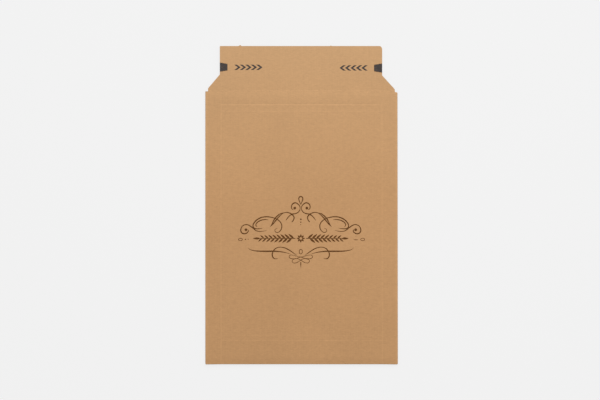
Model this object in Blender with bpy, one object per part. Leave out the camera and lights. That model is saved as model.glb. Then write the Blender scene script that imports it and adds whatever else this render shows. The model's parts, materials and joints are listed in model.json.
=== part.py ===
"""A flat corrugated cardboard envelope, lying front face up with its closing flap open.

One die-cut blank makes the front panel, two side flaps folded behind it, and a back panel
that is folded up at the bottom and glued over the side flaps. The part of the blank above
the mouth is the closing flap, which swings on its crease. X runs across the envelope,
+Y runs from the bottom fold towards the flap, and the back panel lies on Z = 0.
"""

import math
from collections import namedtuple

import bmesh
import bpy

MM = 0.001

# Board and body
BOARD = 1.5 * MM
BODY_WIDTH = 235.0 * MM
BODY_LENGTH = 334.5 * MM
MOUTH_STEP = 3.0 * MM  # how far the back panel stops short of the mouth

# Side flaps, folded flat behind the front panel
SIDE_FLAP_WIDTH = 18.0 * MM
SIDE_FLAP_TAPER = 6.0 * MM  # slope at both ends of a side flap
SIDE_FOLD_SLIT = 0.2 * MM  # air left inside the fold
SIDE_FOLD_STEPS = 8

# Glue between each side flap and the back panel
GLUE_THICKNESS = 0.2 * MM
GLUE_WIDTH = 8.0 * MM
GLUE_END_MARGIN = 14.0 * MM
FILM_CLEARANCE = 0.1 * MM  # between a film or glue line and the board it lies on

# Bottom fold
BOTTOM_FOLD_STEPS = 12

# Raised creases on the front panel, where it bends when the envelope is filled
CREASE_WIDTH = 1.4 * MM
CREASE_HEIGHT = 0.25 * MM
SIDE_CREASE_INSET = 19.1 * MM  # from the side fold
TOP_CREASE_INSET = 17.0 * MM  # from the flap's crease
TOP_CREASE_SPACING = 8.0 * MM
BOTTOM_CREASE_INSET = 29.0 * MM  # from the bottom fold
BOTTOM_CREASE_SPACING = 6.6 * MM

# Closing flap, measured up from its crease
CREASE_GAP = 0.3 * MM  # between the front panel and the flap
FLAP_ROOT_WIDTH = 228.4 * MM
FLAP_TOP_WIDTH = 198.4 * MM
FLAP_SHOULDER_HEIGHT = 2.9 * MM
FLAP_SLOPE_HEIGHT = 17.1 * MM
TEAR_LINE_HEIGHT = 28.0 * MM
TEAR_LINE_TO_EDGE = 27.0 * MM

# Tear tabs at both ends of the tear line, each between two slits
TAB_LENGTH = 9.3 * MM
TAB_OUTER_WIDTH = 10.8 * MM
TAB_INNER_WIDTH = 8.0 * MM
SLIT_WIDTH = 0.3 * MM

# Films on the flap's inner face
TEAR_TAPE_WIDTH = 5.0 * MM
TEAR_TAPE_THICKNESS = 0.15 * MM
ADHESIVE_WIDTH = 12.0 * MM
ADHESIVE_THICKNESS = 0.15 * MM
ADHESIVE_END_MARGIN = 9.0 * MM
LINER_OVERLAP = 2.0 * MM  # liner past the adhesive on every side
LINER_THICKNESS = 0.1 * MM
CLOSED_CLEARANCE = 0.3 * MM  # between the closed flap's films and the back panel

# Heights of the layers, from the back panel's outer face up
SEAM_GAP = GLUE_THICKNESS + 2 * FILM_CLEARANCE
SIDE_FLAP_UNDERSIDE = BOARD + SEAM_GAP
FRONT_UNDERSIDE = SIDE_FLAP_UNDERSIDE + BOARD + SIDE_FOLD_SLIT
BODY_THICKNESS = FRONT_UNDERSIDE + BOARD
SIDE_FOLD_RADIUS = BOARD + SIDE_FOLD_SLIT / 2
BOTTOM_FOLD_RADIUS = BODY_THICKNESS / 2

# Places along Y and X
FLAP_HEIGHT = TEAR_LINE_HEIGHT + TEAR_LINE_TO_EDGE
BOTTOM_Y = -(BODY_LENGTH + FLAP_HEIGHT) / 2
CREASE_Y = BOTTOM_Y + BODY_LENGTH
PANEL_HALF = BODY_WIDTH / 2 - SIDE_FOLD_RADIUS
BOTTOM_FOLD_Y = BOTTOM_Y + BOTTOM_FOLD_RADIUS
TOP_CREASE_Y = CREASE_Y - TOP_CREASE_INSET
SIDE_CREASE_X = BODY_WIDTH / 2 - SIDE_CREASE_INSET

# The flap's axis lies where the closed flap comes to rest just clear of the back panel
FILM_STACK = 2 * FILM_CLEARANCE + ADHESIVE_THICKNESS + LINER_THICKNESS
FLAP_AXIS_Z = (FRONT_UNDERSIDE - FILM_STACK - CLOSED_CLEARANCE) / 2

# A station is a point on the board's outer face, in a section, and the way into the board.
# Its place is an X across the blank or a Y along it, and on_front is true on the flat front.
Station = namedtuple(
    "Station",
    "place z inward_place inward_z on_front crease free_edge",
    defaults=(False, False),
)


def clear_scene():
    for item in list(bpy.data.objects):
        bpy.data.objects.remove(item, do_unlink=True)


def make_material(name, colour, roughness):
    material = bpy.data.materials.new(name)
    material.use_nodes = True
    shader = material.node_tree.nodes["Principled BSDF"]
    shader.inputs["Base Color"].default_value = (*colour, 1.0)
    shader.inputs["Roughness"].default_value = roughness
    shader.inputs["Metallic"].default_value = 0.0
    return material


def add_object(name, mesh_builder, material, parent=None):
    mesh = bpy.data.meshes.new(name)
    bmesh.ops.recalc_face_normals(mesh_builder, faces=mesh_builder.faces)
    mesh_builder.to_mesh(mesh)
    mesh_builder.free()
    mesh.materials.append(material)
    item = bpy.data.objects.new(name, mesh)
    item.parent = parent
    bpy.context.collection.objects.link(item)
    return item


def flat_station(place, crease=False):
    """A station on the flat front panel."""
    return Station(place, BODY_THICKNESS, 0.0, -1.0, True, crease)


def fold_stations(start, direction, radius, steps):
    """Stations round a half turn that starts at the front panel and ends underneath it."""
    stations = []
    for step in range(1, steps + 1):
        angle = math.pi * step / steps
        out = direction * math.sin(angle)
        up = math.cos(angle)
        place = start + radius * out
        z = BODY_THICKNESS - radius + radius * up
        stations.append(Station(place, z, -out, -up, False))
    return stations


def crease_stations(centre):
    half = CREASE_WIDTH / 2
    return [
        flat_station(centre - half),
        flat_station(centre, crease=True),
        flat_station(centre + half),
    ]


def side_strip_stations(side):
    """From the panel's edge round the side fold to the free edge of the side flap."""
    fold = fold_stations(side * PANEL_HALF, side, SIDE_FOLD_RADIUS, SIDE_FOLD_STEPS)
    edge = side * (BODY_WIDTH / 2 - SIDE_FLAP_WIDTH)
    return [*fold, fold[-1]._replace(place=edge, free_edge=True)]


def across_stations():
    """Every station across the blank, from one side flap's edge to the other's."""
    front = [
        flat_station(-PANEL_HALF),
        *crease_stations(-SIDE_CREASE_X),
        *crease_stations(SIDE_CREASE_X),
        flat_station(PANEL_HALF),
    ]
    return [*reversed(side_strip_stations(-1)), *front, *side_strip_stations(1)]


def along_stations():
    """Every station along the blank, from the mouth round the bottom fold to the back's edge."""
    bottom = BOTTOM_Y + BOTTOM_CREASE_INSET
    creases = (
        TOP_CREASE_Y,
        TOP_CREASE_Y - TOP_CREASE_SPACING,
        bottom + BOTTOM_CREASE_SPACING,
        bottom,
    )
    front = [flat_station(CREASE_Y)]
    for centre in creases:
        front.extend(reversed(crease_stations(centre)))
    front.append(flat_station(BOTTOM_FOLD_Y))
    fold = fold_stations(BOTTOM_FOLD_Y, -1, BOTTOM_FOLD_RADIUS, BOTTOM_FOLD_STEPS)
    return [*front, *fold, fold[-1]._replace(place=CREASE_Y - MOUTH_STEP)]


def crease_lift(across, along):
    """How far the board is pressed outwards at a crossing of two stations."""
    if not (across.on_front and along.on_front):
        return 0.0
    on_side_crease = across.crease and along.place <= TOP_CREASE_Y
    on_cross_crease = along.crease and abs(across.place) <= SIDE_CREASE_X
    return CREASE_HEIGHT if on_side_crease or on_cross_crease else 0.0


def taper_side_flap(y):
    """A side flap's free edge is shorter than its fold by a taper at each end."""
    centre = (CREASE_Y + BOTTOM_FOLD_Y) / 2
    fold_half = CREASE_Y - centre
    return centre + (y - centre) * (fold_half - SIDE_FLAP_TAPER) / fold_half


def folded_point(across, along, depth):
    """The place of a point of the blank once it is folded, at a depth into the board."""
    depth -= crease_lift(across, along)
    if across.on_front:
        y = along.place + depth * along.inward_place
        return (across.place, y, along.z + depth * along.inward_z)
    x = across.place + depth * across.inward_place
    y = taper_side_flap(along.place) if across.free_edge else along.place
    return (x, y, across.z + depth * across.inward_z)


def add_folded_board(mesh_builder, across, along, is_board):
    """Two skins and the cut edges of the folded blank, over the cells that hold board."""
    cells = {
        (i, j)
        for i in range(len(across) - 1)
        for j in range(len(along) - 1)
        if is_board(across[i], across[i + 1], along[j], along[j + 1])
    }
    corners = {(i + a, j + b) for i, j in cells for a in (0, 1) for b in (0, 1)}
    skins = []
    for depth in (0.0, BOARD):
        skin = {}
        for i, j in sorted(corners):
            point = folded_point(across[i], along[j], depth)
            skin[i, j] = mesh_builder.verts.new(point)
        skins.append(skin)
    outer, inner = skins
    for i, j in sorted(cells):
        ring = [(i, j), (i + 1, j), (i + 1, j + 1), (i, j + 1)]
        neighbours = [(i, j - 1), (i + 1, j), (i, j + 1), (i - 1, j)]
        mesh_builder.faces.new([outer[key] for key in ring])
        mesh_builder.faces.new([inner[key] for key in reversed(ring)])
        for k, neighbour in enumerate(neighbours):
            if neighbour not in cells:
                a, b = ring[k], ring[(k + 1) % 4]
                mesh_builder.faces.new([outer[b], outer[a], inner[a], inner[b]])


def body_holds_board(across_a, across_b, along_a, along_b):
    """The side strips run beside the front panel only; the panel goes on round the bottom."""
    beside_front = along_a.on_front and along_b.on_front
    return (across_a.on_front and across_b.on_front) or beside_front


def make_body(material):
    builder = bmesh.new()
    add_folded_board(builder, across_stations(), along_stations(), body_holds_board)
    return add_object("envelope_body", builder, material)


def add_plate(mesh_builder, outline, bottom, top):
    """A flat plate: an outline of (x, y) points between two heights."""
    verts = [mesh_builder.verts.new((x, y, bottom)) for x, y in outline]
    face = mesh_builder.faces.new(verts)
    extruded = bmesh.ops.extrude_face_region(mesh_builder, geom=[face])["geom"]
    raised = [item for item in extruded if isinstance(item, bmesh.types.BMVert)]
    bmesh.ops.translate(mesh_builder, verts=raised, vec=(0.0, 0.0, top - bottom))


def rectangle(width, height, centre_x, centre_y):
    left, right = centre_x - width / 2, centre_x + width / 2
    low, high = centre_y - height / 2, centre_y + height / 2
    return [(left, low), (right, low), (right, high), (left, high)]


def slit_outline(side_x, rise):
    """One slit beside the tear tab at the right edge, above it (rise 1) or below it (rise -1)."""
    mouth_y = TEAR_LINE_HEIGHT + rise * TAB_OUTER_WIDTH / 2
    end_y = TEAR_LINE_HEIGHT + rise * TAB_INNER_WIDTH / 2
    end_x = side_x - TAB_LENGTH
    points = [
        (side_x, mouth_y),
        (end_x, end_y),
        (end_x, end_y + rise * SLIT_WIDTH),
        (side_x, mouth_y + rise * SLIT_WIDTH),
    ]
    return points if rise > 0 else list(reversed(points))


def flap_outline():
    """The closing flap, with y measured up from its crease."""
    root = FLAP_ROOT_WIDTH / 2
    top = FLAP_TOP_WIDTH / 2
    right_edge = [
        (root, CREASE_GAP),
        (root, FLAP_SHOULDER_HEIGHT),
        (top, FLAP_SHOULDER_HEIGHT + FLAP_SLOPE_HEIGHT),
        *slit_outline(top, -1),
        *slit_outline(top, 1),
        (top, FLAP_HEIGHT),
    ]
    left_edge = [(-x, y) for x, y in reversed(right_edge)]
    return right_edge + left_edge


def make_flap(board, films, fold_axis):
    """The flap and the films on its inner face, placed from the fold axis."""
    underside = FRONT_UNDERSIDE - FLAP_AXIS_Z
    pieces = [("closing_flap", flap_outline(), underside, underside + BOARD, board)]

    tape_top = underside - FILM_CLEARANCE
    tape_length = FLAP_TOP_WIDTH - 2 * SLIT_WIDTH
    tape = rectangle(tape_length, TEAR_TAPE_WIDTH, 0.0, TEAR_LINE_HEIGHT)
    tape_bottom = tape_top - TEAR_TAPE_THICKNESS
    pieces.append(("tear_tape", tape, tape_bottom, tape_top, films["tape"]))

    glue_low = TEAR_LINE_HEIGHT + TEAR_TAPE_WIDTH / 2
    glue_centre = (glue_low + FLAP_HEIGHT) / 2
    glue_length = FLAP_TOP_WIDTH - 2 * ADHESIVE_END_MARGIN
    glue = rectangle(glue_length, ADHESIVE_WIDTH, 0.0, glue_centre)
    glue_bottom = tape_top - ADHESIVE_THICKNESS
    pieces.append(("adhesive_strip", glue, glue_bottom, tape_top, films["adhesive"]))

    liner_top = glue_bottom - FILM_CLEARANCE
    liner_length = glue_length + 2 * LINER_OVERLAP
    liner_width = ADHESIVE_WIDTH + 2 * LINER_OVERLAP
    liner = rectangle(liner_length, liner_width, 0.0, glue_centre)
    liner_bottom = liner_top - LINER_THICKNESS
    pieces.append(("release_liner", liner, liner_bottom, liner_top, films["liner"]))

    for name, outline, bottom, top, material in pieces:
        builder = bmesh.new()
        add_plate(builder, outline, bottom, top)
        add_object(name, builder, material, parent=fold_axis)


def make_seam_glue(name, side, material):
    """A glue line under one side flap, on the back panel's inner face."""
    centre_x = side * (BODY_WIDTH - SIDE_FLAP_WIDTH) / 2
    low = BOTTOM_FOLD_Y + GLUE_END_MARGIN
    high = CREASE_Y - GLUE_END_MARGIN
    outline = rectangle(GLUE_WIDTH, high - low, centre_x, (low + high) / 2)
    bottom = BOARD + FILM_CLEARANCE
    builder = bmesh.new()
    add_plate(builder, outline, bottom, bottom + GLUE_THICKNESS)
    return add_object(name, builder, material)


def make_fold_axis():
    """An empty on the line that the closing flap swings about."""
    axis = bpy.data.objects.new("flap_fold_axis", None)
    axis.location = (0.0, CREASE_Y, FLAP_AXIS_Z)
    bpy.context.collection.objects.link(axis)
    return axis


def main():
    clear_scene()
    board = make_material("kraft_board", (0.50, 0.31, 0.16), 0.9)
    glue = make_material("seam_glue", (0.80, 0.72, 0.55), 0.45)
    films = {
        "tape": make_material("tear_tape", (0.20, 0.17, 0.15), 0.4),
        "adhesive": make_material("adhesive", (0.86, 0.82, 0.68), 0.3),
        "liner": make_material("release_paper", (0.86, 0.86, 0.84), 0.35),
    }
    make_body(board)
    make_flap(board, films, make_fold_axis())
    make_seam_glue("left_seam_glue", -1, glue)
    make_seam_glue("right_seam_glue", 1, glue)


main()
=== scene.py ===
"""The looks of a corrugated cardboard envelope that lies open and empty, front face up.

The board is folded from one sheet, as the real one is: every point of the sheet has a place
across it, a place along it and a depth, and the folds carry it to where it lies. Fluting,
print, films, floor, lamps and camera follow, each in an operator of its own.
"""

import json
import math

import bmesh
import bpy
from bpy.props import FloatProperty, FloatVectorProperty, IntProperty, PointerProperty
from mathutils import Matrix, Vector
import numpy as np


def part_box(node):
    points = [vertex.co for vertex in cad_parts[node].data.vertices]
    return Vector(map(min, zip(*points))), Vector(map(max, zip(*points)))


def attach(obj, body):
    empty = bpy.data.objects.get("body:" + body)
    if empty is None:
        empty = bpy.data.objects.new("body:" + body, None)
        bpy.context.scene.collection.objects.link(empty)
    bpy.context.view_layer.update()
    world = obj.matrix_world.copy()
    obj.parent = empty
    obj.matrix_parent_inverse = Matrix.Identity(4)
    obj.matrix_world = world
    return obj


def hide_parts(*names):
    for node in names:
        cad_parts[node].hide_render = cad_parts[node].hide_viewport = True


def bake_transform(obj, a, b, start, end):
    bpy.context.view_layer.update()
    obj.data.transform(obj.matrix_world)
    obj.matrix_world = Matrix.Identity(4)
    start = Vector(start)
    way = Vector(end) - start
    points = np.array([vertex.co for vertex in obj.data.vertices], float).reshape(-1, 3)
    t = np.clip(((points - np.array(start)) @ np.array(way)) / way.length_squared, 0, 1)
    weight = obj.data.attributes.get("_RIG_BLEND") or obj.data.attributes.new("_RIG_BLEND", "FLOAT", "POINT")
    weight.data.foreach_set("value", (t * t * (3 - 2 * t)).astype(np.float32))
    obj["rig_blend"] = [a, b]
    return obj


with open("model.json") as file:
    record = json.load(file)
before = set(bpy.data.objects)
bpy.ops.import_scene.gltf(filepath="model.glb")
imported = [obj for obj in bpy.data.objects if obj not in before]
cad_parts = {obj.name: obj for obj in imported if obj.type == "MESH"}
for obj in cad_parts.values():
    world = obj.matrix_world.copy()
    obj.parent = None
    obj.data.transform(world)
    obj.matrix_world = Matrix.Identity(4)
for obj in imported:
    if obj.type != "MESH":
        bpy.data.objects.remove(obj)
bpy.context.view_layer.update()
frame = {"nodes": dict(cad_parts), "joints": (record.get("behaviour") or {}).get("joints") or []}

bl_info = {
    "name": "Corrugated cardboard envelope",
    "version": (1, 0, 0),
    "blender": (4, 5, 0),
    "location": "3D View > Sidebar > Envelope",
    "description": "Dresses a flat corrugated envelope: board, fluting, print, films and stage",
    "category": "Add Mesh",
}

MM = 0.001
HAIR = 0.005 * MM  # gap that keeps touching skins apart
SLACK = 1e-9  # within which two places on the sheet are the same

# Sizes taken from the frame
BODY_LOW, BODY_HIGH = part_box("envelope_body")
FLAP_LOW, FLAP_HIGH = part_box("closing_flap")
GLUE_LOW, GLUE_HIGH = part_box("right_seam_glue")
TAPE_LOW, TAPE_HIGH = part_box("tear_tape")
CREASE_Y = frame["joints"][0]["pos_m"][1]
BOARD = FLAP_HIGH.z - FLAP_LOW.z
FRONT_TOP = FLAP_HIGH.z
FRONT_MIDDLE = (FLAP_HIGH.z + FLAP_LOW.z) / 2
HALF_WIDTH = BODY_HIGH.x
BOTTOM_Y = BODY_LOW.y
FLAP_TOP_Y = FLAP_HIGH.y
FLAP_ROOT_HALF = FLAP_HIGH.x

# Folds of the blank, as the solids have them
FILM_CLEARANCE = 0.1 * MM
SIDE_FLAP_UNDERSIDE = GLUE_HIGH.z + FILM_CLEARANCE
SIDE_FOLD_RADIUS = (FRONT_TOP - SIDE_FLAP_UNDERSIDE) / 2
BOTTOM_FOLD_RADIUS = FRONT_TOP / 2
PANEL_HALF = HALF_WIDTH - SIDE_FOLD_RADIUS
BOTTOM_FOLD_Y = BOTTOM_Y + BOTTOM_FOLD_RADIUS
SIDE_FLAP_EDGE = GLUE_LOW.x + GLUE_HIGH.x - HALF_WIDTH
SIDE_FLAP_TAPER = 6.0 * MM
FOLD_SQUARENESS = 0.38  # 0 is a round fold; 1 would be a square one
MOUTH_Y = CREASE_Y - 3.0 * MM

# The flat sheet: across it from the centre line, and along it from the flap's crease
SIDE_FOLD_ROWS = 14
BOTTOM_FOLD_ROWS = 20
CORNER_ROWS = 8  # of these, the ones that a side fold closes over
SIDE_FOLD_END = PANEL_HALF + math.pi * SIDE_FOLD_RADIUS
SIDE_FLAP_END = SIDE_FOLD_END + PANEL_HALF - SIDE_FLAP_EDGE
BOTTOM_START = CREASE_Y - BOTTOM_FOLD_Y
BOTTOM_END = BOTTOM_START + math.pi * BOTTOM_FOLD_RADIUS
BACK_END = BOTTOM_END + MOUTH_Y - BOTTOM_FOLD_Y
CORNER_LENGTH = math.pi * BOTTOM_FOLD_RADIUS * CORNER_ROWS / BOTTOM_FOLD_ROWS
CORNER_CLOSED = 0.25  # share of a side fold's reach that is left where it ends
PANEL_STEP = 9 * MM
SIDE_FLAP_STEP = 5 * MM
BACK_STEP = 30 * MM

# Creases pressed into the front panel
SIDE_CREASE_X = HALF_WIDTH - 19.1 * MM
TOP_CREASES_Y = (CREASE_Y - 17.0 * MM, CREASE_Y - 25.0 * MM)
BOTTOM_CREASES_Y = (BOTTOM_Y + 35.6 * MM, BOTTOM_Y + 29.0 * MM)
CREASE_STRENGTHS = (1.9, 0.8, 0.5, 0.9)  # top creases, then bottom ones

# Closing flap; the die cut it a little to the left and not quite square
FLAP_LEFT = -99.8 * MM
FLAP_RIGHT = 98.7 * MM
FLAP_LEFT_SHOULDER = (-FLAP_ROOT_HALF, CREASE_Y + 3.3 * MM)
FLAP_RIGHT_SHOULDER = (FLAP_ROOT_HALF - 0.8 * MM, CREASE_Y + 2.9 * MM)
FLAP_LEFT_SLOPE_Y = CREASE_Y + 20.2 * MM
FLAP_RIGHT_SLOPE_Y = CREASE_Y + 19.0 * MM
TEAR_Y = (TAPE_LOW.y + TAPE_HIGH.y) / 2
TEAR_RISE = 0.6 * MM  # the tear line's height over its nominal place, at its middle
TEAR_TILT = -0.0058  # and its slope
LEFT_TAB = (FLAP_LEFT, FLAP_LEFT + 9.4 * MM)  # outer and inner end of a tear tab
RIGHT_TAB = (FLAP_RIGHT, FLAP_RIGHT - 9.95 * MM)
TAB_OUTER_HALF = 5.4 * MM
TAB_INNER_HALF = 3.9 * MM
TAB_CORNER = 0.8 * MM
TAB_SLIT = 0.3 * MM
FOLD_BAND_HALF = 1.5 * MM  # the strip that bends when the flap swings reaches this far
FOLD_BAND_ROWS = 16
WORN_CORNER = (3.2 * MM, 4.6 * MM)  # width and height of the flap's rubbed top right corner
CRISP_CORNER = (0.8 * MM, 0.8 * MM)  # and of its top left one
NICKS = ((36.0 * MM, 3.0 * MM, 0.45 * MM), (-75.1 * MM, 3.8 * MM, 1.1 * MM))  # x, width, height

# Wear of the body, and painted light and shade on it
SHOULDER_STEP = 0.3 * MM  # the width over which a shoulder leaves the flap's root
RIGHT_SHOULDER_DROP = 1.4 * MM
RIGHT_SHOULDER_ROUNDING = 0.7 * MM
LEFT_SHOULDER_DROP = 0.5 * MM
SHOULDER_REACH = 6.0 * MM
BOTTOM_BOW = 0.25 * MM
BOTTOM_BOW_REACH = 8 * MM  # how far up the panel the bow is felt
BOTTOM_CORNER_REACH = 20 * MM  # how far from the corners the bow starts to fade
RIGHT_LEAN = 0.45 * MM  # how far the right side leans out at the bottom
LEFT_BULGE = 0.1 * MM
# The same factor also scales the painted light and the painted shade that ride with the rub
RUB_AND_SHADING_STRENGTH = 0.16  # how much paler the paper is where it is rubbed most
# The last two are painted light, not rub: they make the front just below the flap's crease, and the flap's
# band at it, paler where the board tilts towards the lamp
SIDE_RUB, CREASE_RUB, ROOT_PAINTED_LIGHT, FLAP_ROOT_PAINTED_LIGHT = 0.55, 0.75, 0.35, 0.32  # the bottom fold's is 1
ROOT_REACH = 8 * MM  # how far below the flap's crease the front is painted paler, as painted light
# Painted shade: how much darker the paper is painted just above the first crease and where the bottom fold
# starts, and how far above the crease that reaches
PAINTED_SHADE_STRENGTH = 0.45
PAINTED_SHADE_REACH = 9 * MM


def a_length(name, description, millimetres):
    return FloatProperty(
        name=name, description=description, default=millimetres * MM, unit="LENGTH"
    )


def a_colour(name, description, value):
    return FloatVectorProperty(
        name=name, description=description, default=value, subtype="COLOR"
    )


class EnvelopeBoardSettings(bpy.types.PropertyGroup):
    """Sizes and colours of the corrugated board."""

    liner: a_length("Liner thickness", "Thickness of each of the board's two flat papers", 0.2)
    flute_pitch: a_length("Flute pitch", "Distance from one wave of the fluting to the next", 3.2)
    medium: a_length("Fluting paper", "Thickness of the waved paper between the liners", 0.14)
    crease_width: a_length("Crease width", "Width of the ridge that each crease raises", 1.6)
    crease_height: a_length("Crease height", "Height of the ridge that a crease raises", 0.07)
    sag: a_length("Panel unevenness", "How far the front panel rises and dips", 0.12)
    kraft: a_colour("Kraft colour", "Colour of the outer paper", (0.523, 0.291, 0.133))


class EnvelopePrintSettings(bpy.types.PropertyGroup):
    """Sizes and colours of the printed marks."""

    ink: a_colour("Ink colour", "Colour of the tear marks", (0.060, 0.049, 0.045))
    scroll_ink: a_colour("Scroll ink", "Colour of the scrollwork", (0.118, 0.045, 0.009))
    arrows: IntProperty(
        name="Arrows", description="Arrows in each row along the tear line", default=5
    )
    arrow_pitch: a_length("Arrow pitch", "Distance from one arrow to the next", 6.7)
    arrow_height: a_length("Arrow height", "Size of an arrow across the tear line", 6.5)
    arrow_length: a_length("Arrow length", "Size of an arrow along the tear line", 7.8)
    arrow_stroke: a_length("Arrow stroke", "Width of an arrow's arms", 3.3)
    arrow_start: a_length("First arrow", "Distance from the flap's side to the first arrow", 17.6)


class EnvelopeStageSettings(bpy.types.PropertyGroup):
    """Floor, lamps and camera."""

    camera_height: a_length("Camera height", "Height of the camera over the envelope", 2600.0)
    lamp_power: FloatProperty(
        name="Lamp power",
        description="Power of the large soft lamp beyond the flap",
        default=21.7,
        unit="POWER",
    )
    sky: FloatProperty(
        name="Fill light", description="Strength of the even light from all around", default=0.44
    )
    floor: a_colour("Floor colour", "Colour of the pale floor", (0.888, 0.888, 0.888))


def smooth(value, low, high):
    """0 below low, 1 above high, and a smooth step between them."""
    share = min(max((value - low) / (high - low), 0.0), 1.0)
    return share * share * (3 - 2 * share)


def link(name, data):
    item = bpy.data.objects.new(name, data)
    bpy.context.scene.collection.objects.link(item)
    return item


def finish_mesh(name, builder, materials):
    """An object from a built mesh, with its faces turned outwards."""
    bmesh.ops.recalc_face_normals(builder, faces=builder.faces)
    mesh = bpy.data.meshes.new(name)
    builder.to_mesh(mesh)
    builder.free()
    for material in materials:
        mesh.materials.append(material)
    return link(name, mesh)


class Nodes:
    """Adds nodes to a tree and joins them; a value is a number or another node's output."""

    def add(self, kind, inputs=(), **settings):
        node = self.tree.nodes.new(kind)
        for key, value in settings.items():
            setattr(node, key, value)
        for key, value in dict(inputs).items():
            self.plug(node.inputs[key], value)
        return node

    def plug(self, socket, value):
        if isinstance(value, bpy.types.NodeSocket):
            self.tree.links.new(value, socket)
        else:
            socket.default_value = value

    def math(self, operation, *values):
        node = self.add("ShaderNodeMath", operation=operation)
        for socket, value in zip(node.inputs, values):
            self.plug(socket, value)
        return node.outputs["Value"]


# Materials


class Shader(Nodes):
    """The nodes of one material, which reads Object coordinates."""

    def __init__(self, name):
        self.material = bpy.data.materials.new(name)
        self.material.use_nodes = True
        self.tree = self.material.node_tree
        self.surface = self.tree.nodes["Principled BSDF"]
        self.place = self.tree.nodes.new("ShaderNodeTexCoord").outputs["Object"]

    def noise(self, scale, detail=3.0, roughness=0.55, stretch=(1.0, 1.0, 1.0), shift=0.0):
        """A noise value around 0.5; stretch divides the scale along each axis."""
        mapping = self.add(
            "ShaderNodeMapping",
            {
                "Vector": self.place,
                "Location": (shift, shift, shift),
                "Scale": tuple(scale / part for part in stretch),
            },
        )
        values = {"Scale": 1.0, "Detail": detail, "Roughness": roughness}
        noise = self.add("ShaderNodeTexNoise", {"Vector": mapping.outputs["Vector"], **values})
        return noise.outputs["Fac"]

    def spread(self, value, low, high, new_low, new_high):
        """A value between low and high, moved to between new_low and new_high."""
        names = ("Value", "From Min", "From Max", "To Min", "To Max")
        values = dict(zip(names, (value, low, high, new_low, new_high)))
        return self.add("ShaderNodeMapRange", values).outputs["Result"]

    def swing(self, noise, amount):
        """A factor of one, give or take an amount, from a noise value."""
        return self.spread(noise, 0.3, 0.7, 1.0 - amount, 1.0 + amount)

    def mix(self, share, first, second):
        node = self.add("ShaderNodeMix", data_type="RGBA")
        for name, value in (("Factor", share), ("A", first), ("B", second)):
            self.plug(node.inputs[name], value)
        return node.outputs["Result"]

    def scale_colour(self, colour, factor):
        node = self.add("ShaderNodeVectorMath", operation="SCALE")
        is_socket = isinstance(colour, bpy.types.NodeSocket)
        self.plug(node.inputs[0], colour if is_socket else tuple(colour)[:3])
        self.plug(node.inputs["Scale"], factor)
        return node.outputs["Vector"]

    def part(self, axis):
        parts = self.add("ShaderNodeSeparateXYZ", {"Vector": self.place})
        return parts.outputs[axis]

    def finish(self, tone, relief, depth, strength, roughness, specular):
        """Give the surface its colour, its fine relief and its gloss."""
        bump = self.add(
            "ShaderNodeBump", {"Height": relief, "Distance": depth, "Strength": strength}
        )
        self.plug(self.surface.inputs["Base Color"], tone)
        self.plug(self.surface.inputs["Normal"], bump.outputs["Normal"])
        self.surface.inputs["Roughness"].default_value = roughness
        self.surface.inputs["Specular IOR Level"].default_value = specular
        return self.material


def rgba(colour):
    return (*tuple(colour)[:3], 1.0)


PAINTED_LIGHT_TONE = (0.80, 0.74, 0.50, 1.0)  # painted light: mixed in towards the end that makes the flap, which the lamp beyond the flap lights more
PAINTED_LIGHT_SHARE = 0.07
INSIDE_SHADE, CUT_SHADE, FLUTING_SHADE, INKED_SHADE = 0.93, 0.86, 0.8, 0.8  # of the kraft colour


def paper_tones(shader, colour, flecks):
    """Kraft paper: cloudy formation, fibres across the flutes, and light and dark flecks.

    The sheet is painted a little paler towards the end that makes the flap, as painted light for the lamp
    beyond it.
    """
    clouds = shader.swing(shader.noise(11.0, detail=2.0), 0.025)
    formation = shader.swing(shader.noise(240.0, 4.0, 0.6), 0.035)
    fibres = shader.noise(1500.0, 4.0, 0.65, stretch=(7.0, 1.0, 1.0), shift=3.1)
    tone = shader.math("MULTIPLY", clouds, formation)
    tone = shader.math("MULTIPLY", tone, shader.swing(fibres, 0.07))
    base = shader.scale_colour(rgba(colour), tone)
    dark = shader.noise(2300.0, 1.0, 0.5, stretch=(6.0, 1.0, 1.0), shift=7.7)
    light = shader.noise(1900.0, 1.0, 0.5, stretch=(1.0, 5.0, 1.0), shift=1.3)
    for noise, low, high, brightness in ((dark, 0.68, 0.78, 0.42), (light, 0.69, 0.8, 1.35)):
        share = shader.spread(noise, low, high, 0.0, flecks)
        base = shader.mix(share, base, rgba(Vector(colour) * brightness))
    # Painted light: the paper is made paler towards the flap's end, which the lamp lights more
    pale = shader.spread(shader.part("Y"), 0.0, FLAP_TOP_Y, 0.0, PAINTED_LIGHT_SHARE)
    return shader.mix(pale, base, PAINTED_LIGHT_TONE), fibres, formation


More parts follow.
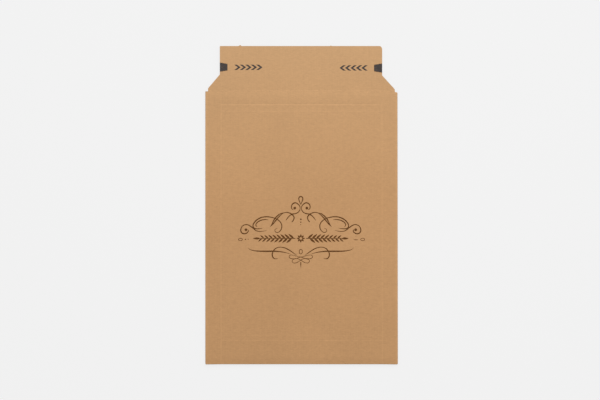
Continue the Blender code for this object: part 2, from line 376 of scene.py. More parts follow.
def make_kraft(name, colour, flecks=0.35, flutes=0.0, wear=False, pitch=3.2 * MM):
    """Kraft paper; flutes is how strongly the fluting shows through it."""
    shader = Shader(name)
    tone, fibres, formation = paper_tones(shader, colour, flecks)
    relief = shader.math("MULTIPLY_ADD", formation, 0.5, fibres)
    if flutes:
        turns = shader.math("MULTIPLY", shader.part("X"), 2 * math.pi / pitch)
        wave = shader.math("SINE", turns)
        tone = shader.scale_colour(tone, shader.math("MULTIPLY_ADD", wave, flutes, 1.0))
        relief = shader.math("MULTIPLY_ADD", wave, 0.25, relief)
    # The attribute holds rub, and also painted light and painted shade: paler just below the flap's crease,
    # darker above the first crease and at the bottom fold
    if wear:
        rub_light_and_shade = shader.add("ShaderNodeAttribute", attribute_name="wear").outputs["Fac"]
        patches = shader.spread(shader.noise(160.0, shift=5.0), 0.35, 0.65, 0.45, 1.0)
        share = shader.math("MULTIPLY", rub_light_and_shade, patches)
        paler = shader.math("MULTIPLY_ADD", share, RUB_AND_SHADING_STRENGTH, 1.0)
        tone = shader.scale_colour(tone, paler)
    return shader.finish(tone, relief, 0.04 * MM, 0.55, roughness=0.88, specular=0.25)


def make_ink(name, colour, kraft):
    """Ink soaked into kraft paper, with a few fibres left bare."""
    shader = Shader(name)
    cloud = shader.spread(shader.noise(420.0), 0.3, 0.7, 0.88, 1.14)
    base = shader.scale_colour(rgba(colour), cloud)
    bare = shader.noise(1300.0, 3.0, 0.6, stretch=(6.0, 1.0, 1.0), shift=3.1)
    share = shader.spread(bare, 0.6, 0.78, 0.0, 0.5)
    tone = shader.mix(share, base, rgba(Vector(kraft) * INKED_SHADE))
    return shader.finish(tone, bare, 0.03 * MM, 0.4, roughness=0.78, specular=0.15)


def make_film(name, colour, roughness, streaks=0.06):
    """A thin film or paper strip with streaks along its length."""
    shader = Shader(name)
    run = shader.noise(600.0, 3.0, 0.5, stretch=(12.0, 1.0, 1.0))
    tone = shader.scale_colour(rgba(colour), shader.swing(run, streaks))
    return shader.finish(tone, run, 0.02 * MM, 0.5, roughness, specular=0.5)


# The folded sheet


def panel_rise(x, y):
    """The front panel isn't quite flat: it rises and dips a little between its folds."""
    inside = smooth(HALF_WIDTH - abs(x), 2 * MM, 30 * MM)
    inside *= smooth(y - BOTTOM_Y, 4 * MM, 40 * MM) * smooth(CREASE_Y - y, 2 * MM, 30 * MM)
    long_wave = math.sin(x * 31.0 + 0.7) * math.cos(y * 19.0 - 0.4)
    short_wave = math.sin(x * 57.0 - y * 43.0 + 1.9)
    sag = bpy.context.scene.envelope_board.sag
    return sag * inside * (0.6 * long_wave + 0.4 * short_wave)


def ridge(offset):
    """The share of a crease's height at a distance from its middle."""
    half = bpy.context.scene.envelope_board.crease_width / 2
    return 0.5 + 0.5 * math.cos(math.pi * offset / half) if abs(offset) < half else 0.0


def crease_share(x, y):
    """How strongly a crease marks the front panel at a point; creases are a little patchy."""
    share = ridge(abs(x) - SIDE_CREASE_X) if y <= TOP_CREASES_Y[0] + MM else 0.0
    if abs(x) <= SIDE_CREASE_X:
        for place, strength in zip(TOP_CREASES_Y + BOTTOM_CREASES_Y, CREASE_STRENGTHS):
            patchy = 0.85 + 0.15 * math.sin(75.0 * x + 40.0 * place)
            share = max(share, strength * patchy * ridge(y - place))
    return share


def painted_crease_shade(x, y):
    """How much painted shade darkens the paper just above the first crease."""
    above = y - TOP_CREASES_Y[0]
    if abs(x) > SIDE_CREASE_X or above < 0.0:
        return 0.0
    return 1.0 - smooth(above, 0.0, PAINTED_SHADE_REACH)


def fold_point(distance, radius, depth):
    """(out, height) at a distance along a half turn of the board, or along the layer past it.

    Pressed flat, the fold bends sharply at two creases outside and stays round inside.
    """
    turn = math.pi * radius
    if distance > turn:
        return turn - distance, FRONT_TOP - 2 * radius + depth
    angle = distance / radius
    power = 1.0 - FOLD_SQUARENESS * (1.0 - depth / BOARD)
    out = math.sin(angle) ** power if angle < math.pi else 0.0
    up = math.copysign(abs(math.cos(angle)) ** power, math.cos(angle))
    return (radius - depth) * out, FRONT_TOP - radius + (radius - depth) * up


def side_point(across, along, depth):
    """A point on a side fold or side flap; the fold runs into the bottom corner and closes."""
    out, z = fold_point(abs(across) - PANEL_HALF, SIDE_FOLD_RADIUS, depth)
    y = CREASE_Y - along
    corner = along - BOTTOM_START
    if corner > 0.0:
        reach, top = fold_point(corner, BOTTOM_FOLD_RADIUS, depth)
        y = BOTTOM_FOLD_Y - reach
        low = SIDE_FLAP_UNDERSIDE
        z = low + (z - low) * (top - low) / (FRONT_TOP - depth - low)
        closing = math.cos(min(corner / CORNER_LENGTH, 1.0) * math.pi / 2)
        out *= CORNER_CLOSED + (1.0 - CORNER_CLOSED) * closing ** (1.0 - FOLD_SQUARENESS)
    flap_share = (abs(across) - SIDE_FOLD_END) / (SIDE_FLAP_END - SIDE_FOLD_END)
    if flap_share > 0.0:
        centre = (CREASE_Y + BOTTOM_FOLD_Y) / 2
        reach = CREASE_Y - centre
        y = centre + (y - centre) * (reach - SIDE_FLAP_TAPER * flap_share) / reach
    return math.copysign(PANEL_HALF + out, across), y, z


def wear_down(x, y, z):
    """The shoulders are crushed, the sides lean out, and the bottom edge bows in."""
    on_shoulder = smooth(abs(x), FLAP_ROOT_HALF, FLAP_ROOT_HALF + SHOULDER_STEP)
    on_shoulder *= smooth(y, CREASE_Y - SHOULDER_REACH, CREASE_Y)
    rounding = RIGHT_SHOULDER_ROUNDING * smooth(x, PANEL_HALF, HALF_WIDTH)
    drop = LEFT_SHOULDER_DROP if x < 0.0 else RIGHT_SHOULDER_DROP + rounding
    bow = BOTTOM_BOW * (1.0 - smooth(y, BOTTOM_Y, BOTTOM_Y + BOTTOM_BOW_REACH))
    bow *= 1.0 - smooth(abs(x), HALF_WIDTH - BOTTOM_CORNER_REACH, HALF_WIDTH)
    down = (CREASE_Y - y) / (CREASE_Y - BOTTOM_Y)
    lean = x / HALF_WIDTH * (LEFT_BULGE if x < 0.0 else RIGHT_LEAN * down)
    return x + lean, y - on_shoulder * drop + bow, z


def fold_sheet(across, along, depth):
    """Where a point of the flat blank lies once it is folded.

    Across runs from the centre line out over the side folds, and along runs down from the
    flap's crease over the bottom fold and up the back panel.
    """
    if abs(across) - PANEL_HALF > SLACK:
        return wear_down(*side_point(across, along, depth))
    if along - BOTTOM_START > SLACK:
        out, z = fold_point(along - BOTTOM_START, BOTTOM_FOLD_RADIUS, depth)
        return wear_down(across, BOTTOM_FOLD_Y - out, z)
    y = CREASE_Y - along
    crease = bpy.context.scene.envelope_board.crease_height * crease_share(across, y)
    return wear_down(across, y, FRONT_TOP + crease + panel_rise(across, y) - depth)


def band(distance, centre, half, fade):
    """1 within half of a centre, and 0 from fade on."""
    return 1.0 - smooth(abs(distance - centre), half, fade)


def sheet_wear_and_shading(across, along):
    """Where the paper wears paler on creases and folds, with painted light below the flap's crease and
    painted shade above the first crease and at the bottom fold.
    """
    past_side = abs(across) - PANEL_HALF
    past_bottom = along - BOTTOM_START
    side = band(past_side, centre=0.8 * MM, half=0.6 * MM, fade=2.4 * MM)
    bottom = band(past_bottom, centre=1.7 * MM, half=0.9 * MM, fade=1.7 * MM)
    # painted shade where the front turns into the bottom fold
    painted_shade = band(past_bottom, centre=0.0, half=0.1 * MM, fade=1.0 * MM)
    crease = root = 0.0
    if past_side <= 0.0 and past_bottom <= 0.0:
        crease = crease_share(across, CREASE_Y - along)
        # painted light: the front just below the flap's crease is made paler
        root = 1.0 - smooth(along, 0.0, ROOT_REACH)
        if not crease:
            painted_shade = max(painted_shade, painted_crease_shade(across, CREASE_Y - along))
    rubbed_and_lit = max(SIDE_RUB * side, bottom, CREASE_RUB * crease, ROOT_PAINTED_LIGHT * root)
    return rubbed_and_lit - PAINTED_SHADE_STRENGTH * painted_shade


def spaced(start, end, step):
    """Evenly spaced values from start up to end, without end."""
    count = max(1, round(abs(end - start) / step))
    return [start + (end - start) * k / count for k in range(count)]


def with_creases(places, start, end):
    """Values from start to end, close together across each crease and wide apart elsewhere."""
    half = bpy.context.scene.envelope_board.crease_width / 2
    values = []
    for place in places:
        values += spaced(start, place - half, PANEL_STEP)
        values += spaced(place - half, place + half, half / 3)
        start = place + half
    return values + spaced(start, end, PANEL_STEP)


def across_values():
    """The sheet's lines across, from the left side flap's edge to the right one's."""
    right = with_creases([SIDE_CREASE_X], 0.0, FLAP_ROOT_HALF)[1:]
    right += [FLAP_ROOT_HALF, FLAP_ROOT_HALF + SHOULDER_STEP]
    right += spaced(PANEL_HALF, SIDE_FOLD_END, SIDE_FOLD_RADIUS * math.pi / SIDE_FOLD_ROWS)
    right += spaced(SIDE_FOLD_END, SIDE_FLAP_END, SIDE_FLAP_STEP) + [SIDE_FLAP_END]
    return [-value for value in reversed(right)] + [0.0] + right


def along_values():
    """The sheet's lines along, from the mouth down and up the back panel."""
    creases = [CREASE_Y - y for y in TOP_CREASES_Y + BOTTOM_CREASES_Y]
    values = [0.0] + with_creases(creases, FOLD_BAND_HALF, BOTTOM_START)
    step = BOTTOM_FOLD_RADIUS * math.pi / BOTTOM_FOLD_ROWS
    values += spaced(BOTTOM_START, BOTTOM_END, step)
    return values + spaced(BOTTOM_END, BACK_END, BACK_STEP) + [BACK_END]


def wear_and_shading_layer(builder):
    """The values of the points that say where the paper wears, and where light and shade are painted on it.
    """
    layers = builder.verts.layers.float
    return layers.get("wear") or layers.new("wear")


def add_shell(builder, cells, place, depths, slots, wear):
    """A closed shell over a set of grid cells: two skins and the cut edges between them.

    place takes a grid corner and a depth; slots are the materials of the outer skin, the
    inner skin and the edges; wear gives each corner's rub, painted light and painted shade.
    """
    corners = sorted({(i + a, j + b) for i, j in cells for a in (0, 1) for b in (0, 1)})
    layer = wear_and_shading_layer(builder)
    skins = []
    for depth in depths:
        skin = {corner: builder.verts.new(place(corner, depth)) for corner in corners}
        for corner, vert in skin.items():
            vert[layer] = wear(corner)
        skins.append(skin)
    outer, inner = skins
    for i, j in sorted(cells):
        ring = [(i, j), (i + 1, j), (i + 1, j + 1), (i, j + 1)]
        beside = [(i, j - 1), (i + 1, j), (i, j + 1), (i - 1, j)]
        for skin, keys, slot in ((outer, ring, slots[0]), (inner, ring[::-1], slots[1])):
            face = builder.faces.new([skin[key] for key in keys])
            face.material_index = slot
            face.smooth = True
        for k, neighbour in enumerate(beside):
            if neighbour not in cells:
                a, b = ring[k], ring[(k + 1) % 4]
                face = builder.faces.new([outer[b], outer[a], inner[a], inner[b]])
                face.material_index = slots[2]


def sharpen_edges(item, degrees=40.0):
    """Cut edges stay sharp while the folds between them are smooth."""
    item.data.set_sharp_from_angle(angle=math.radians(degrees))
    return item


def fold_body_board(materials):
    """Both liners of the folded body, with crushed fluting left solid inside the folds."""
    liner = bpy.context.scene.envelope_board.liner
    across, along = across_values(), along_values()

    def reach(i, j):
        """The nearest and farthest place across a cell, and its two places along."""
        return *sorted((abs(across[i]), abs(across[i + 1]))), along[j], along[j + 1]

    def holds_board(i, j):
        _, far, _, end = reach(i, j)
        if far <= PANEL_HALF + SLACK:
            return far > FLAP_ROOT_HALF + SLACK or end > FOLD_BAND_HALF + SLACK
        in_corner = end <= BOTTOM_START + CORNER_LENGTH + SLACK
        return end <= BOTTOM_START + SLACK or (in_corner and far <= SIDE_FOLD_END + SLACK)

    def is_crushed(i, j):
        near, far, start, end = reach(i, j)
        on_side_fold = near >= FLAP_ROOT_HALF - SLACK and far <= SIDE_FOLD_END + SLACK
        return on_side_fold or (start >= BOTTOM_START - SLACK and end <= BOTTOM_END + SLACK)

    def place(corner, depth):
        return fold_sheet(across[corner[0]], along[corner[1]], depth)

    def wear(corner):
        return sheet_wear_and_shading(across[corner[0]], along[corner[1]])

    grid = [(i, j) for i in range(len(across) - 1) for j in range(len(along) - 1)]
    cells = {cell for cell in grid if holds_board(*cell)}
    crushed = {cell for cell in cells if is_crushed(*cell)}
    builder = bmesh.new()
    add_shell(builder, cells, place, (0.0, liner), (0, 1, 2), wear)
    add_shell(builder, cells, place, (BOARD - liner, BOARD), (1, 1, 2), lambda corner: 0.0)
    filled = (liner + HAIR, BOARD - liner - HAIR)
    add_shell(builder, crushed, place, filled, (2, 2, 2), lambda corner: 0.0)
    return sharpen_edges(finish_mesh("envelope_board", builder, materials))


def tear_y(x):
    """The tear line's height on the flap at a place across it."""
    return TEAR_Y + TEAR_RISE + TEAR_TILT * x


def tab_slit(tab, side):
    """The cut beside a tear tab, above it (side 1) or below it (side -1), upwards."""
    edge_x, inner_x = tab
    mouth_y = tear_y(edge_x) + side * TAB_OUTER_HALF
    end_y = tear_y(inner_x) + side * TAB_INNER_HALF
    slit = side * TAB_SLIT
    points = [(edge_x, mouth_y), (inner_x, end_y), (inner_x, end_y + slit)]
    points.append((edge_x, mouth_y + slit))
    return points if side > 0 else points[::-1]


def nick(centre_x, width, height):
    """A stub of paper left on the flap's top edge where the blank was broken out."""
    steps = ((0.5, 0.0), (0.3, 0.55), (0.12, 1.0), (-0.16, 0.8), (-0.34, 0.3), (-0.5, 0.0))
    return [(centre_x + dx * width, FLAP_TOP_Y + dy * height) for dx, dy in steps]


def arc(centre_x, centre_y, across, along, start=0, end=360, steps=6):
    """Points on the rim of an oval from one angle to another, in degrees."""
    angles = [math.radians(start + (end - start) * k / steps) for k in range(steps + 1)]
    return [(centre_x + across * math.cos(a), centre_y + along * math.sin(a)) for a in angles]


def flap_edge():
    """The flap's cut edge above its fold band, anticlockwise from the right end of its root."""

    def side(shoulder, tab, slope_y):
        return [shoulder, (tab[0], slope_y), *tab_slit(tab, -1), *tab_slit(tab, 1)]

    right = side(FLAP_RIGHT_SHOULDER, RIGHT_TAB, FLAP_RIGHT_SLOPE_Y)
    left = side(FLAP_LEFT_SHOULDER, LEFT_TAB, FLAP_LEFT_SLOPE_Y)
    wide, tall = WORN_CORNER
    top_right = arc(FLAP_RIGHT - wide, FLAP_TOP_Y - tall, wide, tall, 0, 90)
    wide, tall = CRISP_CORNER
    top_left = arc(FLAP_LEFT + wide, FLAP_TOP_Y - tall, wide, tall, 90, 180)
    nicks = [point for sizes in NICKS for point in nick(*sizes)]
    return [*right, *top_right, *nicks, *top_left, *reversed(left)]


def add_walls(builder, first, second, slot=0):
    """Faces that join two rings of points."""
    for k in range(len(first)):
        after = (k + 1) % len(first)
        face = builder.faces.new([first[k], first[after], second[after], second[k]])
        face.material_index = slot


def add_flap_layer(builder, depths, slots):
    """One liner of the flap: a band of rows that bends at the crease, and the plate above."""
    step = 2 * FOLD_BAND_HALF / FOLD_BAND_ROWS
    rows = [CREASE_Y - FOLD_BAND_HALF + step * k for k in range(FOLD_BAND_ROWS + 1)]
    layer = wear_and_shading_layer(builder)
    crease_height = bpy.context.scene.envelope_board.crease_height
    loops = []
    for depth, slot in zip(depths, slots):
        pairs = []
        for y in rows:
            z = FRONT_TOP + crease_height * ridge(y - CREASE_Y) - depth
            pair = [builder.verts.new((x, y, z)) for x in (FLAP_ROOT_HALF, -FLAP_ROOT_HALF)]
            for vert in pair:
                below = smooth(CREASE_Y + FOLD_BAND_HALF - y, 0.0, FOLD_BAND_HALF)
                # painted light: the band is made paler towards the crease, like the front below it
                vert[layer] = FLAP_ROOT_PAINTED_LIGHT * below
            pairs.append(pair)
        rim = [builder.verts.new((x, y, FRONT_TOP - depth)) for x, y in flap_edge()]
        for (right, left), (next_right, next_left) in zip(pairs, pairs[1:]):
            face = builder.faces.new([right, next_right, next_left, left])
            face.material_index = slot
            face.smooth = True
        plate = builder.faces.new([pairs[-1][0], *rim, pairs[-1][1]])
        plate.material_index = slot
        loops.append([pair[0] for pair in pairs] + rim + [pair[1] for pair in pairs[::-1]])
    add_walls(builder, *loops, slots[2])


def fold_flap_board(materials):
    builder = bmesh.new()
    liner = bpy.context.scene.envelope_board.liner
    add_flap_layer(builder, (0.0, liner), (0, 1, 2))
    add_flap_layer(builder, (BOARD - liner, BOARD), (1, 1, 2))
    return sharpen_edges(finish_mesh("flap_board", builder, materials))


class ENVELOPE_OT_fold_board(bpy.types.Operator):
    """Fold the envelope's board: front panel, side flaps, back panel and closing flap"""

    bl_idname = "envelope.fold_board"
    bl_label = "Fold the board"

    def execute(self, context):
        settings = context.scene.envelope_board
        kraft = Vector(settings.kraft)
        pitch = settings.flute_pitch
        face = make_kraft("kraft_face", kraft, flutes=0.006, wear=True, pitch=pitch)
        shade = kraft * INSIDE_SHADE
        inner = make_kraft("kraft_inside", shade, flecks=0.5, flutes=0.012, pitch=pitch)
        edge = make_kraft("kraft_cut_edge", kraft * CUT_SHADE, flecks=0.6)
        body = fold_body_board([face, inner, edge])
        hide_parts("envelope_body")
        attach(body, "envelope")
        flap = fold_flap_board([face, inner, edge])
        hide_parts("closing_flap")
        start = (0.0, CREASE_Y - FOLD_BAND_HALF, FRONT_TOP)
        end = (0.0, CREASE_Y + FOLD_BAND_HALF, FRONT_TOP)
        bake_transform(flap, "envelope", "flap", start=start, end=end)
        return {"FINISHED"}


# Repeated forms, as geometry nodes

SEAM = 1e-6  # points nearer than this are merged


class FormTree(Nodes):
    """A geometry node tree with named inputs, for forms of one thickness and one material."""

    def __init__(self, name):
        self.tree = bpy.data.node_groups.new(name, "GeometryNodeTree")
        self.tree.interface.new_socket(
            "Geometry", in_out="OUTPUT", socket_type="NodeSocketGeometry"
        )
        self.inputs = self.tree.nodes.new("NodeGroupInput")
        self.outputs = self.tree.nodes.new("NodeGroupOutput")
        self.identifiers = {}
        [self.source] = self.take("Geometry", "Source")
        [self.thickness] = self.take("Float", "Thickness")
        [self.material] = self.take("Material", "Material")

    def take(self, kind, *names):
        """Add named inputs of one kind, and give the places where their values come in."""
        for name in names:
            socket = self.tree.interface.new_socket(
                name, in_out="INPUT", socket_type="NodeSocket" + kind
            )
            self.identifiers[name] = socket.identifier
        return [self.inputs.outputs[name] for name in names]

    def get(self, output, kind, inputs=(), **settings):
        return self.add(kind, inputs, **settings).outputs[output]

    def vector(self, x=0.0, y=0.0, z=0.0):
        return self.get("Vector", "ShaderNodeCombineXYZ", {"X": x, "Y": y, "Z": z})

    def index(self):
        return self.get("Index", "GeometryNodeInputIndex")

    def grid(self, columns, rows):
        """A flat sheet one unit wide and long, and the X and Y of its points from -0.5 to 0.5."""
        sizes = {"Size X": 1.0, "Size Y": 1.0, "Vertices X": columns, "Vertices Y": rows}
        sheet = self.get("Mesh", "GeometryNodeMeshGrid", sizes)
        place = self.get("Position", "GeometryNodeInputPosition")
        parts = self.add("ShaderNodeSeparateXYZ", {"Vector": place})
        return sheet, parts.outputs["X"], parts.outputs["Y"]

    def shape(self, sheet, x, y, z=0.0):
        """The sheet with its points at new places."""
        inputs = {"Geometry": sheet, "Position": self.vector(x, y, z)}
        return self.get("Geometry", "GeometryNodeSetPosition", inputs)

    def join(self, *forms):
        joined = self.add("GeometryNodeJoinGeometry")
        for form in forms:
            self.tree.links.new(form, joined.inputs["Geometry"])
        return joined.outputs["Geometry"]

    def thicken(self, sheet):
        """A closed solid from a flat sheet of faces: its copy raised, and itself turned over."""
        raised = {"Mesh": sheet, "Offset": self.vector(z=self.thickness), "Individual": False}
        top = self.get("Mesh", "GeometryNodeExtrudeMesh", raised, mode="FACES")
        base = self.get("Mesh", "GeometryNodeFlipFaces", {"Mesh": sheet})
        inputs = {"Geometry": self.join(top, base), "Distance": SEAM}
        return self.get("Geometry", "GeometryNodeMergeByDistance", inputs)

    def line(self, count, start, stride):
        """Points in a row along X."""
        inputs = {"Count": count, "Start Location": start, "Offset": self.vector(x=stride)}
        return self.get("Mesh", "GeometryNodeMeshLine", inputs)

    def repeat(self, form, points, **inputs):
        """The form at each of the points."""
        inputs = {"Points": points, "Instance": form, **inputs}
        return self.get("Instances", "GeometryNodeInstanceOnPoints", inputs)

    def finish(self, form):
        whole = self.get("Geometry", "GeometryNodeRealizeInstances", {"Geometry": form})
        inputs = {"Geometry": whole, "Material": self.material}
        painted = self.get("Geometry", "GeometryNodeSetMaterial", inputs)
        self.plug(self.outputs.inputs["Geometry"], painted)
        return self


def grow(made, values, source=None):
    """A plain mesh from a node tree, with the tree's inputs set by name."""
    holder = link("holder", source or bpy.data.meshes.new("holder"))
    modifier = holder.modifiers.new(made.tree.name, "NODES")
    modifier.node_group = made.tree
    for name, value in values.items():
        modifier[made.identifiers[name]] = value
    depsgraph = bpy.context.evaluated_depsgraph_get()
    mesh = bpy.data.meshes.new_from_object(
        holder.evaluated_get(depsgraph), preserve_all_data_layers=True, depsgraph=depsgraph
    )
    bpy.data.objects.remove(holder)
    return mesh


def join_meshes(name, meshes, material):
    """One object from several meshes, all of one material."""
    builder = bmesh.new()
    for mesh in meshes:
        builder.from_mesh(mesh)
        bpy.data.meshes.remove(mesh)
    for face in builder.faces:
        face.material_index = 0
    return finish_mesh(name, builder, [material])


WAVE_COLUMNS = 10.0  # columns of faces in each wave of the fluting
FLUTE_CLEARANCE = 0.01 * MM
FLUTING_END = 0.2 * MM  # how far above the bottom fold the fluting ends
STRIP_INPUTS = ("Left", "Right", "Near", "Far at left", "Far at right", "Middle height")


def fluting_tree():
    """A strip of waved paper whose far edge may slope from its left end to its right end."""
    made = FormTree("Fluting strip")
    left, right, near, far_left, far_right, middle, pitch, height = made.take(
        "Float", *STRIP_INPUTS, "Pitch", "Height"
    )
    width = made.math("SUBTRACT", right, left)
    waves = made.math("DIVIDE", width, pitch)
    columns = made.math("CEIL", made.math("MULTIPLY", waves, WAVE_COLUMNS))
    sheet, grid_x, grid_y = made.grid(made.math("ADD", columns, 1.0), 2)
    across = made.math("ADD", grid_x, 0.5)
    along = made.math("ADD", grid_y, 0.5)
    x = made.math("MULTIPLY_ADD", across, width, left)
    drop = made.math("SUBTRACT", far_right, far_left)
    far = made.math("MULTIPLY_ADD", across, drop, far_left)
    y = made.math("MULTIPLY_ADD", along, made.math("SUBTRACT", far, near), near)
    turns = made.math("MULTIPLY", made.math("DIVIDE", x, pitch), 2 * math.pi)
    low = made.math("SUBTRACT", middle, made.math("MULTIPLY", made.thickness, 0.5))
    z = made.math("MULTIPLY_ADD", made.math("SINE", turns), height, low)
    return made.finish(made.thicken(made.shape(sheet, x, y, z)))


class ENVELOPE_OT_fluting(bpy.types.Operator):
    """Lay the waved paper between the liners of the body and of the flap"""

    bl_idname = "envelope.fluting"
    bl_label = "Lay the fluting"

    def execute(self, context):
        settings = context.scene.envelope_board
        paper = make_kraft("fluting_paper", Vector(settings.kraft) * FLUTING_SHADE, flecks=0.6)
        tree = fluting_tree()
        hollow = BOARD - 2 * settings.liner
        shared = {
            "Pitch": settings.flute_pitch,
            "Height": (hollow - settings.medium) / 2 - FLUTE_CLEARANCE,
            "Thickness": settings.medium,
            "Material": paper,
        }

        def lay(name, strips):
            values = [{**shared, **dict(zip(STRIP_INPUTS, strip))} for strip in strips]
            return join_meshes(name, [grow(tree, each) for each in values], paper)

        side_z = SIDE_FLAP_UNDERSIDE + BOARD / 2
        low_y = BOTTOM_FOLD_Y + FLUTING_END
        side_low_y = low_y + SIDE_FLAP_TAPER
        band_y = CREASE_Y - FOLD_BAND_HALF
        taper_y = CREASE_Y - SIDE_FLAP_TAPER
        right_y = CREASE_Y - RIGHT_SHOULDER_DROP
        body = (
            (-FLAP_ROOT_HALF, FLAP_ROOT_HALF, low_y, band_y, band_y, FRONT_MIDDLE),
            (-PANEL_HALF, PANEL_HALF, low_y, MOUTH_Y, MOUTH_Y, BOARD / 2),
            (SIDE_FLAP_EDGE, PANEL_HALF, side_low_y, taper_y, right_y, side_z),
            (-PANEL_HALF, -SIDE_FLAP_EDGE, side_low_y, CREASE_Y, taper_y, side_z),
        )
        piece = lay("envelope_fluting", body)
        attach(piece, "envelope")
        root_y = CREASE_Y + FOLD_BAND_HALF
        outer_left, left_y = FLAP_LEFT_SHOULDER
        outer_right, right_y = FLAP_RIGHT_SHOULDER
        crisp_x, crisp_y = FLAP_LEFT + CRISP_CORNER[0], FLAP_TOP_Y - CRISP_CORNER[1]
        worn_x, worn_y = FLAP_RIGHT - WORN_CORNER[0], FLAP_TOP_Y - WORN_CORNER[1]
        flap = (
            (outer_left, FLAP_LEFT - HAIR, root_y, left_y, FLAP_LEFT_SLOPE_Y, FRONT_MIDDLE),
            (FLAP_LEFT, crisp_x, root_y, crisp_y, FLAP_TOP_Y, FRONT_MIDDLE),
            (crisp_x + HAIR, worn_x - HAIR, root_y, FLAP_TOP_Y, FLAP_TOP_Y, FRONT_MIDDLE),
            (worn_x, FLAP_RIGHT, root_y, FLAP_TOP_Y, worn_y, FRONT_MIDDLE),
            (FLAP_RIGHT + HAIR, outer_right, root_y, FLAP_RIGHT_SLOPE_Y, right_y, FRONT_MIDDLE),
        )
        piece = lay("flap_fluting", flap)
        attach(piece, "flap")
        return {"FINISHED"}


# Print

INK_RISE = 0.02 * MM
INK_DEPTH = 0.03 * MM
INK_THICKNESS = INK_RISE + INK_DEPTH
INK_BASE_Z = FRONT_TOP - INK_DEPTH


def add_ink_patch(builder, outline):
    """A thin patch of ink over an outline of (x, y) points."""
    top = [builder.verts.new((x, y, FRONT_TOP + INK_RISE)) for x, y in outline]
    base = [builder.verts.new((x, y, INK_BASE_Z)) for x, y in outline]
    builder.faces.new(top)
    builder.faces.new(base[::-1])
    add_walls(builder, base, top)


def arrow_row_tree():
    """A row of printed arrows that point along X."""
    made = FormTree("Arrow row")
    [count] = made.take("Int", "Count")
    [start] = made.take("Vector", "Start")
    pitch, length, height, stroke, step = made.take(
        "Float", "Pitch", "Length", "Height", "Stroke", "Step"
    )
    arms, grid_x, grid_y = made.grid(2, 3)
    outward = made.math("MULTIPLY", made.math("ABSOLUTE", grid_y), 2.0)
    inward = made.math("SUBTRACT", 1.0, outward)
    tail = made.math("MULTIPLY", made.math("ADD", grid_x, 0.5), stroke)
    x = made.math("MULTIPLY_ADD", inward, made.math("SUBTRACT", length, stroke), tail)
    arrow = made.thicken(made.shape(arms, x, made.math("MULTIPLY", grid_y, height)))
    points = made.line(count, start, made.math("MULTIPLY", pitch, step))
    return made.finish(made.repeat(arrow, points, Scale=made.vector(step, 1.0, 1.0)))


class ENVELOPE_OT_tear_marks(bpy.types.Operator):
    """Print the tear tabs and the rows of arrows on the closing flap"""

    bl_idname = "envelope.tear_marks"
    bl_label = "Print the tear marks"

    def execute(self, context):
        settings = context.scene.envelope_print
        ink = make_ink("tear_ink", settings.ink, context.scene.envelope_board.kraft)
        self.print_tabs(ink)
        self.print_arrows(settings, ink)
        return {"FINISHED"}

    def print_tabs(self, ink):
        builder = bmesh.new()
        for side, (edge_x, inner_x) in ((-1, LEFT_TAB), (1, RIGHT_TAB)):
            centre_x = side * inner_x + TAB_CORNER
            tall = TAB_INNER_HALF - TAB_CORNER
            shape = [
                (side * edge_x, -TAB_OUTER_HALF),
                (side * edge_x, TAB_OUTER_HALF),
                *arc(centre_x, tall, TAB_CORNER, TAB_CORNER, 90, 180),
                *arc(centre_x, -tall, TAB_CORNER, TAB_CORNER, 180, 270),
            ]
            add_ink_patch(builder, [(side * x, tear_y(side * x) + y) for x, y in shape])
        piece = finish_mesh("tear_tab_print", builder, [ink])
        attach(piece, "flap")

    def print_arrows(self, settings, ink):
        tree = arrow_row_tree()
        rows = []
        for step, edge_x in ((1, FLAP_LEFT), (-1, FLAP_RIGHT)):
            start_x = edge_x + step * settings.arrow_start
            middle_x = start_x + step * settings.arrows / 2 * settings.arrow_pitch
            values = {
                "Count": settings.arrows,
                "Start": (start_x, tear_y(middle_x), INK_BASE_Z),
                "Pitch": settings.arrow_pitch,
                "Length": settings.arrow_length,
                "Height": settings.arrow_height,
                "Stroke": settings.arrow_stroke,
                "Step": float(step),
                "Thickness": INK_THICKNESS,
                "Material": ink,
            }
            rows.append(grow(tree, values))
        piece = join_meshes("tear_arrow_print", rows, ink)
        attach(piece, "flap")


SCROLL_CENTRE = (-0.8 * MM, -40.5 * MM)
STROKE_STEP = 0.0004 * MM  # each pen stroke lies this much over the last one
STROKE_WEIGHT = 1.16
STROKE_SMOOTHNESS = 8  # pieces of ribbon from one point of a stroke to the next

# Pen strokes of the scrollwork's right half, as (x, y, width) in millimetres
TOP_VOLUTE = (
    (9.1, 35.2, 0.5), (10.7, 36.1, 0.8), (11.4, 38.0, 1.0), (11.1, 40.2, 1.1), (10.0, 42.2, 1.2),
    (8.2, 43.3, 1.3), (6.2, 43.5, 1.2), (4.4, 42.7, 1.1), (2.6, 41.2, 1.0), (1.2, 39.2, 0.8),
    (0.8, 36.8, 0.7), (1.3, 34.6, 0.9), (2.6, 32.6, 1.0), (4.6, 31.1, 1.0), (7.2, 30.2, 1.1),
    (9.8, 29.9, 1.1), (12.2, 28.8, 1.1), (14.4, 27.0, 1.0), (16.4, 24.7, 0.9), (18.4, 21.9, 0.4),
)
SHOULDER_INNER = (
    (11.0, 20.0, 0.8), (9.2, 22.2, 1.0), (8.2, 24.9, 1.1), (8.9, 27.4, 1.2), (10.7, 29.3, 1.4),
    (13.2, 30.8, 1.1), (16.0, 31.7, 1.0), (19.0, 31.7, 0.8), (21.8, 30.9, 0.8), (24.2, 28.9, 0.9),
    (26.8, 26.4, 1.1), (29.0, 23.9, 1.3), (31.1, 21.3, 1.2), (33.2, 18.6, 1.0), (35.2, 16.4, 0.8),
    (37.6, 14.3, 0.3),
)
